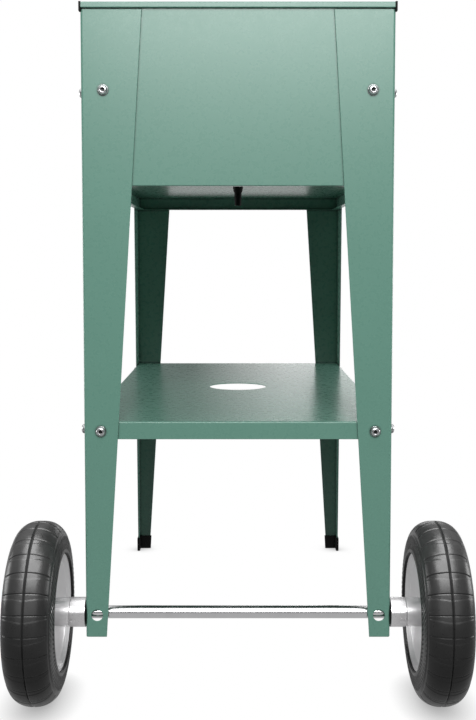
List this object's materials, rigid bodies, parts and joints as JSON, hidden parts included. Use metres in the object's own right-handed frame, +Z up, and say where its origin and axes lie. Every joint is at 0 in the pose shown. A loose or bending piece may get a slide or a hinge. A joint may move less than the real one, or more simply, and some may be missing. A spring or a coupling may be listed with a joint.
{
  "type": "plant trolley",
  "caption": "Raised sheet-steel planter box on tapered angle legs, with a lower shelf, wheels on an axle at one end and plastic feet at the other.",
  "frame": {"origin": "middle of the bounding box's base, on the floor between the wheels and the feet", "axes": "+Z up; +Y from the wheel end towards the end with the feet; +X to the right seen from the wheel end, along the axle"},
  "size_m": [0.5096, 0.738, 0.7842],
  "materials": {
    "green_coat": "satin powder coat, fine orange peel",
    "bright_bolts": "bright zinc plate",
    "axle_chrome": "polished plate",
    "spacer_steel": "satin turned metal",
    "tyre": "satin moulded rubber",
    "rim_plastic": "silver-grey moulded",
    "black_plastic": "fine moulded grain",
    "nylon": "natural nylon",
    "seal_rubber": "matt"
  },
  "bodies": {
    "frame": {"front_panel": "green_coat", "rear_panel": "green_coat", "left_side_panel": "green_coat", "right_side_panel": "green_coat", "planter_floor": "green_coat", "shelf": "green_coat", "front_left_leg": "green_coat", "front_left_rim_cap": "black_plastic", "bolt_front_left_planter_end": "bright_bolts", "bolt_front_left_planter_side": "bright_bolts", "bolt_front_left_shelf_end": "bright_bolts", "bolt_front_left_shelf_side": "bright_bolts", "front_right_leg": "green_coat", "front_right_rim_cap": "black_plastic", "bolt_front_right_planter_end": "bright_bolts", "bolt_front_right_planter_side": "bright_bolts", "bolt_front_right_shelf_end": "bright_bolts", "bolt_front_right_shelf_side": "bright_bolts", "rear_left_leg": "green_coat", "rear_left_rim_cap": "black_plastic", "bolt_rear_left_planter_end": "bright_bolts", "bolt_rear_left_planter_side": "bright_bolts", "bolt_rear_left_shelf_end": "bright_bolts", "bolt_rear_left_shelf_side": "bright_bolts", "rear_right_leg": "green_coat", "rear_right_rim_cap": "black_plastic", "bolt_rear_right_planter_end": "bright_bolts", "bolt_rear_right_planter_side": "bright_bolts", "bolt_rear_right_shelf_end": "bright_bolts", "bolt_rear_right_shelf_side": "bright_bolts", "left_foot_cap": "black_plastic", "left_leg_washer": "black_plastic", "left_spacer": "spacer_steel", "left_axle_cap": "black_plastic", "right_foot_cap": "black_plastic", "right_leg_washer": "black_plastic", "right_spacer": "spacer_steel", "right_axle_cap": "black_plastic", "drain_spout": "black_plastic", "drain_seal": "seal_rubber", "drain_nut": "black_plastic", "axle": "axle_chrome"},
    "left_wheel": {"left_tyre": "tyre", "left_rim": "rim_plastic", "left_inner_bush": "nylon", "left_outer_bush": "nylon"},
    "right_wheel": {"right_tyre": "tyre", "right_rim": "rim_plastic", "right_inner_bush": "nylon", "right_outer_bush": "nylon"}
  },
  "joints": [
    {"name": "left_wheel_spin", "type": "hinge", "parent": "frame", "child": "left_wheel", "pos_m": [-0.2264, -0.26653, 0.1025], "axis": [1, 0, 0], "continuous": true},
    {"name": "right_wheel_spin", "type": "hinge", "parent": "frame", "child": "right_wheel", "pos_m": [0.2264, -0.26653, 0.1025], "axis": [1, 0, 0], "continuous": true}
  ]
}
